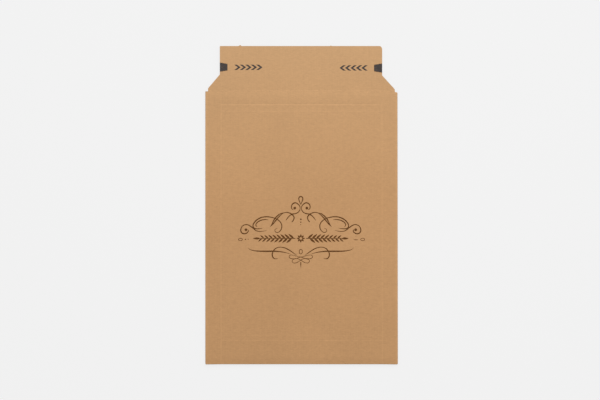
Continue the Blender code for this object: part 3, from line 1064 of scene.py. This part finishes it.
SHOULDER_OUTER = (
    (19.5, 31.6, 0.4), (22.3, 31.0, 0.7), (25.2, 30.1, 1.0), (28.0, 28.1, 1.2), (30.6, 25.6, 1.3),
    (32.6, 22.9, 1.3), (34.0, 20.1, 1.1), (35.2, 17.6, 0.9), (36.6, 15.6, 0.3),
)
GREAT_SCROLL = (
    (28.6, 12.3, 0.3), (30.4, 11.9, 0.5), (31.6, 10.4, 0.6), (31.3, 8.5, 0.7), (29.7, 7.4, 0.7),
    (27.2, 7.7, 0.8), (25.0, 9.6, 0.9), (23.6, 12.2, 1.0), (23.2, 15.2, 1.0), (23.9, 18.2, 1.0),
    (25.6, 20.6, 1.0), (28.2, 22.9, 1.0), (31.4, 24.6, 0.9), (35.4, 25.7, 1.0), (39.4, 26.4, 1.1),
    (43.2, 26.5, 1.2), (47.2, 25.9, 1.2), (51.0, 24.4, 1.3), (54.2, 22.3, 1.3), (56.7, 19.7, 1.2),
    (58.2, 17.1, 1.1), (58.4, 14.8, 1.0), (57.3, 12.9, 1.1), (55.2, 11.9, 1.1), (52.2, 11.8, 0.9),
    (48.6, 12.2, 0.6), (45.6, 12.8, 0.2),
)
INNER_ARC = (
    (39.6, 22.7, 0.3), (43.0, 23.1, 0.8), (46.4, 22.8, 1.0), (49.6, 21.8, 1.1), (52.4, 20.3, 1.1),
    (54.3, 18.4, 1.0), (54.9, 16.5, 0.9), (54.5, 15.1, 0.7), (53.3, 14.7, 0.5),
)
SIDE_VOLUTE = (
    (41.6, 9.9, 0.2), (45.0, 9.0, 0.5), (48.8, 8.5, 0.7), (52.6, 8.8, 0.8), (55.6, 10.2, 0.9),
    (58.0, 12.3, 1.1), (60.4, 14.1, 1.2), (63.2, 15.9, 1.1), (65.8, 16.9, 1.0), (68.4, 16.7, 1.0),
    (71.0, 15.4, 0.9), (72.8, 13.0, 1.0), (73.4, 10.2, 1.1), (72.8, 7.8, 1.2), (71.1, 6.2, 1.3),
    (68.6, 5.8, 1.3), (66.3, 6.5, 1.2), (64.7, 7.9, 1.0), (64.1, 9.5, 0.8), (64.9, 10.9, 0.5),
)
STEM = ((7.0, 0.0, 0.5), (9.0, 0.0, 0.8), (30.0, 0.0, 0.7), (52.0, 0.0, 0.5))
RIGHT_DASH = ((64.7, -1.6, 0.25), (67.4, -1.7, 0.8), (70.0, -1.6, 0.25))
SWASH = (
    (64.6, -10.9, 0.15), (62.4, -13.4, 0.5), (58.0, -14.8, 0.8), (52.0, -15.5, 1.2),
    (45.0, -15.7, 1.5), (38.0, -15.7, 1.5), (31.8, -15.7, 1.4), (25.8, -16.1, 1.1),
    (19.8, -17.1, 0.8), (14.8, -18.4, 0.5), (12.8, -19.1, 0.2),
)
LOWER_CURL = (
    (4.4, -21.0, 0.15), (7.8, -18.6, 0.7), (11.8, -15.8, 1.0), (15.8, -13.3, 1.1),
    (19.8, -11.5, 1.0), (23.8, -10.7, 0.8), (27.8, -11.0, 0.9), (31.3, -12.7, 1.0),
    (33.6, -15.5, 1.1), (34.9, -18.9, 1.2), (34.6, -22.0, 1.2), (33.0, -24.2, 1.1),
    (30.6, -24.9, 0.8), (28.0, -24.6, 0.25),
)
KNOT = (
    (0.0, -22.7, 0.6), (2.6, -23.6, 0.6), (5.4, -24.6, 0.6), (8.4, -25.3, 0.6), (10.3, -26.6, 0.6),
    (10.4, -28.6, 0.6), (8.6, -30.0, 0.6), (5.8, -29.8, 0.6), (2.9, -28.4, 0.6), (0.0, -26.6, 0.6),
    (-2.8, -25.1, 0.6), (-6.0, -24.6, 0.6), (-9.6, -24.9, 0.6), (-13.0, -24.3, 0.7),
    (-14.3, -22.3, 0.7), (-13.0, -20.4, 0.6), (-9.8, -20.4, 0.5), (-6.0, -21.4, 0.5),
    (-3.0, -22.3, 0.5),
)
CROWN = (
    (0.0, 41.6, 0.5), (1.0, 44.0, 0.8), (2.0, 46.4, 1.0), (2.5, 48.8, 1.1), (1.7, 50.6, 1.2),
    (0.0, 51.2, 1.3), (-1.7, 50.6, 1.2), (-2.5, 48.8, 1.1), (-2.0, 46.4, 1.0), (-1.0, 44.0, 0.8),
)
SPIKE = ((0.0, -28.8, 0.8), (0.0, -31.0, 1.0), (0.0, -33.6, 0.6), (0.0, -36.2, 0.1))
MIRRORED_STROKES = (
    TOP_VOLUTE, SHOULDER_INNER, SHOULDER_OUTER, GREAT_SCROLL, INNER_ARC, SIDE_VOLUTE, SWASH,
    LOWER_CURL, STEM,
)
MIRRORED_DOTS = ((7.4, 37.1, 1.7), (67.1, 10.6, 1.7))  # x, y, radius
SINGLE_DOTS = (
    (0.0, 23.4, 1.05), (0.0, 19.9, 0.8), (0.0, 17.0, 0.5),
    (-67.7, -1.1, 0.8), (-64.3, -1.0, 0.55),
)
RINGS = (  # x, y, half width, half height, stroke
    (75.7, -1.25, 2.4, 1.5, 0.6), (-73.8, -1.25, 2.4, 1.5, 0.6), (0.0, -16.2, 1.9, 2.8, 0.7),
)

# The garland between the scrolls
LEAF_SKEW = 0.8  # under 1 the leaf is widest before its middle
LEAF_TIP = 0.004  # share of the width that is left at the leaf's ends
LEAF_FULLNESS = 0.85  # under 1 the leaf's sides are fuller than a sine
SPRIG_START = 8.6 * MM
SPRIG_END = 50.0 * MM
SPRIG_LEAVES = 8
SPRIG_SIZES = {
    "Pitch": (SPRIG_END - SPRIG_START) / SPRIG_LEAVES,
    "Leaf length": 8.6 * MM,
    "Leaf width": 2.6 * MM,
    "Tilt": math.radians(40.0),
    "Shrink": 0.04,
}
ROSETTE_SIZES = {
    "Inner radius": 1.3 * MM,
    "Petal length": 3.9 * MM,
    "Petal width": 2.1 * MM,
}
ROSETTE_PETALS = 8


def mirrored(stroke):
    return [(-x, y, width) for x, y, width in stroke]


def stroke_paths():
    """A wire mesh of every pen stroke, with its width at each point."""
    open_strokes = [SPIKE, RIGHT_DASH]
    for stroke in MIRRORED_STROKES:
        open_strokes += [stroke, mirrored(stroke)]
    loops = [CROWN, KNOT, mirrored(KNOT)]
    for *oval, stroke in RINGS:
        loops.append([(x, y, stroke) for x, y in arc(*oval, steps=10)[:-1]])
    points, edges, widths = [], [], []
    for k, stroke in enumerate(open_strokes + loops):
        first = len(points)
        height = INK_BASE_Z + k * STROKE_STEP
        for x, y, width in stroke:
            points.append((SCROLL_CENTRE[0] + x * MM, SCROLL_CENTRE[1] + y * MM, height))
            widths.append(STROKE_WEIGHT * width * MM)
        edges += [(n, n + 1) for n in range(first, len(points) - 1)]
        if k >= len(open_strokes):
            edges.append((len(points) - 1, first))
    mesh = bpy.data.meshes.new("pen_strokes")
    mesh.from_pydata(points, edges, [])
    mesh.attributes.new("width", "FLOAT", "POINT").data.foreach_set("value", widths)
    return mesh


def pen_stroke_tree():
    """Smooth ribbons of varying width along a wire mesh."""
    made = FormTree("Pen strokes")
    [smoothness] = made.take("Int", "Smoothness")
    curve = made.get("Curve", "GeometryNodeMeshToCurve", {"Mesh": made.source})
    curve = made.get(
        "Curve", "GeometryNodeCurveSplineType", {"Curve": curve}, spline_type="CATMULL_ROM"
    )
    inputs = {"Geometry": curve, "Resolution": smoothness}
    curve = made.get("Geometry", "GeometryNodeSetSplineResolution", inputs)
    width = made.get(
        "Attribute", "GeometryNodeInputNamedAttribute", {"Name": "width"}, data_type="FLOAT"
    )
    inputs = {"Curve": curve, "Radius": width}
    curve = made.get("Curve", "GeometryNodeSetCurveRadius", inputs)
    curve = made.get("Curve", "GeometryNodeSetCurveNormal", {"Curve": curve}, mode="Z_UP")
    ends = {"Start": (-0.5, 0.0, 0.0), "End": (0.5, 0.0, 0.0)}
    nib = made.get("Curve", "GeometryNodeCurvePrimitiveLine", ends)
    radius = made.get("Radius", "GeometryNodeInputRadius")
    inputs = {"Curve": curve, "Profile Curve": nib, "Scale": radius}
    ribbon = made.get("Mesh", "GeometryNodeCurveToMesh", inputs)
    return made.finish(made.thicken(ribbon))


def make_leaf(made, length, width):
    """A thin leaf from the origin along X, widest before its middle."""
    sheet, grid_x, grid_y = made.grid(9, 3)
    along = made.math("ADD", grid_x, 0.5)
    skewed = made.math("POWER", along, LEAF_SKEW)
    swell = made.math("SINE", made.math("MULTIPLY", skewed, math.pi))
    bulge = made.math("POWER", made.math("MAXIMUM", swell, LEAF_TIP), LEAF_FULLNESS)
    y = made.math("MULTIPLY", made.math("MULTIPLY", grid_y, width), bulge)
    return made.thicken(made.shape(sheet, made.math("MULTIPLY", along, length), y))


def sprig_tree():
    """Leaves in pairs along a stem that runs along X, smaller towards its tip."""
    made = FormTree("Leaf sprig")
    [count] = made.take("Int", "Count")
    [start] = made.take("Vector", "Start")
    pitch, length, width, tilt, shrink, step = made.take("Float", *SPRIG_SIZES, "Step")
    leaf = make_leaf(made, length, width)
    stride = made.math("MULTIPLY", pitch, step)
    facing = made.math("SUBTRACT", math.pi / 2, made.math("MULTIPLY", step, math.pi / 2))
    size = made.math("SUBTRACT", 1.0, made.math("MULTIPLY", made.index(), shrink))
    turn = made.math("MULTIPLY", tilt, step)

    def row(leaves, shift, side):
        """Leaves on one side of the stem; side 0 is the single leaf at its tip."""
        offset = made.vector(x=made.math("MULTIPLY", stride, shift))
        place = made.get("Vector", "ShaderNodeVectorMath", {0: start, 1: offset}, operation="ADD")
        angle = made.math("MULTIPLY_ADD", turn, side, facing)
        inputs = {"Rotation": made.vector(z=angle), "Scale": made.vector(size, size, 1.0)}
        return made.repeat(leaf, made.line(leaves, place, stride), **inputs)

    rows = (row(count, 0.0, 1.0), row(count, 0.5, -1.0), row(1, count, 0.0))
    return made.finish(made.join(*rows))


def rosette_tree():
    """Petals round a centre."""
    made = FormTree("Rosette")
    [petals] = made.take("Int", "Petals")
    [centre] = made.take("Vector", "Centre")
    inner, length, width = made.take("Float", *ROSETTE_SIZES)
    petal = make_leaf(made, length, width)
    inputs = {"Vertices": petals, "Radius": inner}
    ring = made.get("Mesh", "GeometryNodeMeshCircle", inputs)
    share = made.math("DIVIDE", made.index(), petals)
    turn = made.vector(z=made.math("MULTIPLY", share, 2 * math.pi))
    around = made.repeat(petal, ring, Rotation=turn)
    inputs = {"Geometry": around, "Translation": centre}
    return made.finish(made.get("Geometry", "GeometryNodeTransform", inputs))


class ENVELOPE_OT_scrollwork(bpy.types.Operator):
    """Print the scrollwork and its garland on the front panel"""

    bl_idname = "envelope.scrollwork"
    bl_label = "Print the scrollwork"

    def execute(self, context):
        settings = context.scene.envelope_print
        ink = make_ink("scroll_ink", settings.scroll_ink, context.scene.envelope_board.kraft)
        shared = {"Thickness": INK_THICKNESS, "Material": ink}
        strokes = {**shared, "Smoothness": STROKE_SMOOTHNESS}
        meshes = [grow(pen_stroke_tree(), strokes, stroke_paths()), self.draw_dots()]
        piece = join_meshes("scroll_print", meshes + self.draw_garland(shared), ink)
        for vert in piece.data.vertices:
            vert.co.z += panel_rise(vert.co.x, vert.co.y)
        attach(piece, "envelope")
        return {"FINISHED"}

    def draw_dots(self):
        builder = bmesh.new()
        centre_x, centre_y = SCROLL_CENTRE
        for x, y, radius in (*MIRRORED_DOTS, *mirrored(MIRRORED_DOTS), *SINGLE_DOTS):
            x, y, radius = centre_x + x * MM, centre_y + y * MM, radius * MM
            add_ink_patch(builder, arc(x, y, radius, radius, steps=20)[:-1])
        mesh = bpy.data.meshes.new("dots")
        builder.to_mesh(mesh)
        builder.free()
        return mesh

    def draw_garland(self, shared):
        height = INK_BASE_Z + STROKE_STEP / 2
        tree = sprig_tree()
        meshes = []
        for step in (1, -1):
            start = (SCROLL_CENTRE[0] + step * SPRIG_START, SCROLL_CENTRE[1], height)
            values = {"Count": SPRIG_LEAVES, "Start": start, "Step": float(step)}
            meshes.append(grow(tree, {**shared, **SPRIG_SIZES, **values}))
        values = {"Petals": ROSETTE_PETALS, "Centre": (*SCROLL_CENTRE, height)}
        return [*meshes, grow(rosette_tree(), {**shared, **ROSETTE_SIZES, **values})]


# Films

TAPE_INSET = 0.3 * MM  # the tear tape ends this far inside the flap's sides


class ENVELOPE_OT_films(bpy.types.Operator):
    """Finish the adhesive, its release paper, the tear tape and the seam glue"""

    bl_idname = "envelope.films"
    bl_label = "Finish the films"

    def execute(self, context):
        glue = make_film("seam_glue", (0.62, 0.50, 0.28), roughness=0.3, streaks=0.1)
        finishes = {
            "adhesive_strip": make_film("hot_melt_band", (0.72, 0.62, 0.36), roughness=0.22),
            "release_liner": make_film("release_paper", (0.80, 0.80, 0.77), 0.38, streaks=0.03),
            "left_seam_glue": glue,
            "right_seam_glue": glue,
        }
        for node, material in finishes.items():
            item = frame["nodes"][node]
            item.data.materials.clear()
            item.data.materials.append(material)
        self.lay_tear_tape()
        return {"FINISHED"}

    def lay_tear_tape(self):
        """The tape follows the tear line and ends with the tabs."""
        half = (TAPE_HIGH.y - TAPE_LOW.y) / 2
        low, high = TAPE_LOW.z, TAPE_HIGH.z
        corners = ((-half, low), (half, low), (half, high), (-half, high))
        builder = bmesh.new()
        near, far = (
            [builder.verts.new((x, tear_y(x) + y, z)) for y, z in corners]
            for x in (FLAP_LEFT + TAPE_INSET, FLAP_RIGHT - TAPE_INSET)
        )
        builder.faces.new(near)
        builder.faces.new(far[::-1])
        add_walls(builder, far, near)
        film = make_film("tear_film", (0.12, 0.095, 0.085), roughness=0.3, streaks=0.12)
        tape = finish_mesh("tear_tape_film", builder, [film])
        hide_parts("tear_tape")
        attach(tape, "flap")


# Stage

FLOOR_GAP = 0.05 * MM
FLOOR_HALF = 6.0
FLOOR_GLOW = 0.9  # share of the floor's colour that the camera sees unlit
LAMP_SIZE = 1.2
LAMP_PLACE = (0.22, 0.85, 1.45)
PHOTO_SIZE = (600, 400)
METRES_PER_PIXEL = 1.2227 * MM
PHOTO_CENTRE_LINE = 301.45  # column of the envelope's centre line
PHOTO_CREASE_ROW = 91.0  # row of the flap's crease


class ENVELOPE_OT_stage(bpy.types.Operator):
    """Make the camera, the pale floor and the soft lamps"""

    bl_idname = "envelope.stage"
    bl_label = "Set the stage"

    def execute(self, context):
        settings = context.scene.envelope_stage
        self.make_camera(context.scene, settings)
        self.make_floor(settings)
        self.make_lamps(context.scene, settings)
        context.scene.view_settings.view_transform = "Standard"
        return {"FINISHED"}

    def make_camera(self, scene, settings):
        """Straight above, with each pixel of the photograph its real size on the front."""
        camera = bpy.data.cameras.new("camera")
        photo_width = PHOTO_SIZE[0] * METRES_PER_PIXEL
        camera.lens = camera.sensor_width * settings.camera_height / photo_width
        camera.clip_end = 20.0
        item = link("camera", camera)
        x = (PHOTO_SIZE[0] / 2 - PHOTO_CENTRE_LINE) * METRES_PER_PIXEL
        y = CREASE_Y + (PHOTO_CREASE_ROW - PHOTO_SIZE[1] / 2) * METRES_PER_PIXEL
        item.location = (x, y, FRONT_TOP + settings.camera_height)
        scene.camera = item

    def make_floor(self, settings):
        shader = Shader("pale_floor")
        shader.surface.inputs["Base Color"].default_value = rgba(settings.floor)
        shader.surface.inputs["Roughness"].default_value = 0.9
        shader.surface.inputs["Specular IOR Level"].default_value = 0.1
        glow = shader.add("ShaderNodeEmission", {"Color": rgba(settings.floor), "Strength": 1.0})
        seen = shader.add("ShaderNodeLightPath").outputs["Is Camera Ray"]
        inputs = {
            "Fac": shader.math("MULTIPLY", seen, FLOOR_GLOW),
            1: shader.surface.outputs["BSDF"],
            2: glow.outputs["Emission"],
        }
        mixed = shader.add("ShaderNodeMixShader", inputs).outputs["Shader"]
        shader.plug(shader.tree.nodes["Material Output"].inputs["Surface"], mixed)
        builder = bmesh.new()
        bmesh.ops.create_grid(builder, x_segments=1, y_segments=1, size=FLOOR_HALF)
        bmesh.ops.translate(builder, verts=builder.verts, vec=(0.0, 0.0, -FLOOR_GAP))
        floor = finish_mesh("floor", builder, [shader.material])

    def make_lamps(self, scene, settings):
        scene.world = bpy.data.worlds.new("even_light")
        scene.world.use_nodes = True
        background = scene.world.node_tree.nodes["Background"]
        background.inputs["Color"].default_value = (1.0, 1.0, 1.0, 1.0)
        background.inputs["Strength"].default_value = settings.sky
        lamp = bpy.data.lights.new("soft_lamp", "AREA")
        lamp.shape = "SQUARE"
        lamp.size = LAMP_SIZE
        lamp.energy = settings.lamp_power
        item = link("soft_lamp", lamp)
        item.location = LAMP_PLACE
        item.rotation_euler = (-item.location).to_track_quat("-Z", "Y").to_euler()


class ENVELOPE_PT_panel(bpy.types.Panel):
    """Lists the envelope's steps in the sidebar"""

    bl_idname = "ENVELOPE_PT_panel"
    bl_label = "Corrugated envelope"
    bl_space_type = "VIEW_3D"
    bl_region_type = "UI"
    bl_category = "Envelope"

    def draw(self, context):
        for step in STEPS:
            self.layout.operator(step.bl_idname)


SETTINGS = {
    "envelope_board": EnvelopeBoardSettings,
    "envelope_print": EnvelopePrintSettings,
    "envelope_stage": EnvelopeStageSettings,
}
STEPS = (
    ENVELOPE_OT_fold_board,
    ENVELOPE_OT_fluting,
    ENVELOPE_OT_tear_marks,
    ENVELOPE_OT_scrollwork,
    ENVELOPE_OT_films,
    ENVELOPE_OT_stage,
)


def register():
    for kind in (*SETTINGS.values(), *STEPS, ENVELOPE_PT_panel):
        bpy.utils.register_class(kind)
    for name, group in SETTINGS.items():
        setattr(bpy.types.Scene, name, PointerProperty(type=group))


def unregister():
    for name in SETTINGS:
        delattr(bpy.types.Scene, name)
    for kind in reversed((*SETTINGS.values(), *STEPS, ENVELOPE_PT_panel)):
        bpy.utils.unregister_class(kind)


def main():
    register()
    bpy.ops.envelope.fold_board()
    bpy.ops.envelope.fluting()
    bpy.ops.envelope.tear_marks()
    bpy.ops.envelope.scrollwork()
    bpy.ops.envelope.films()
    bpy.ops.envelope.stage()


if __name__ == "__main__":
    main()
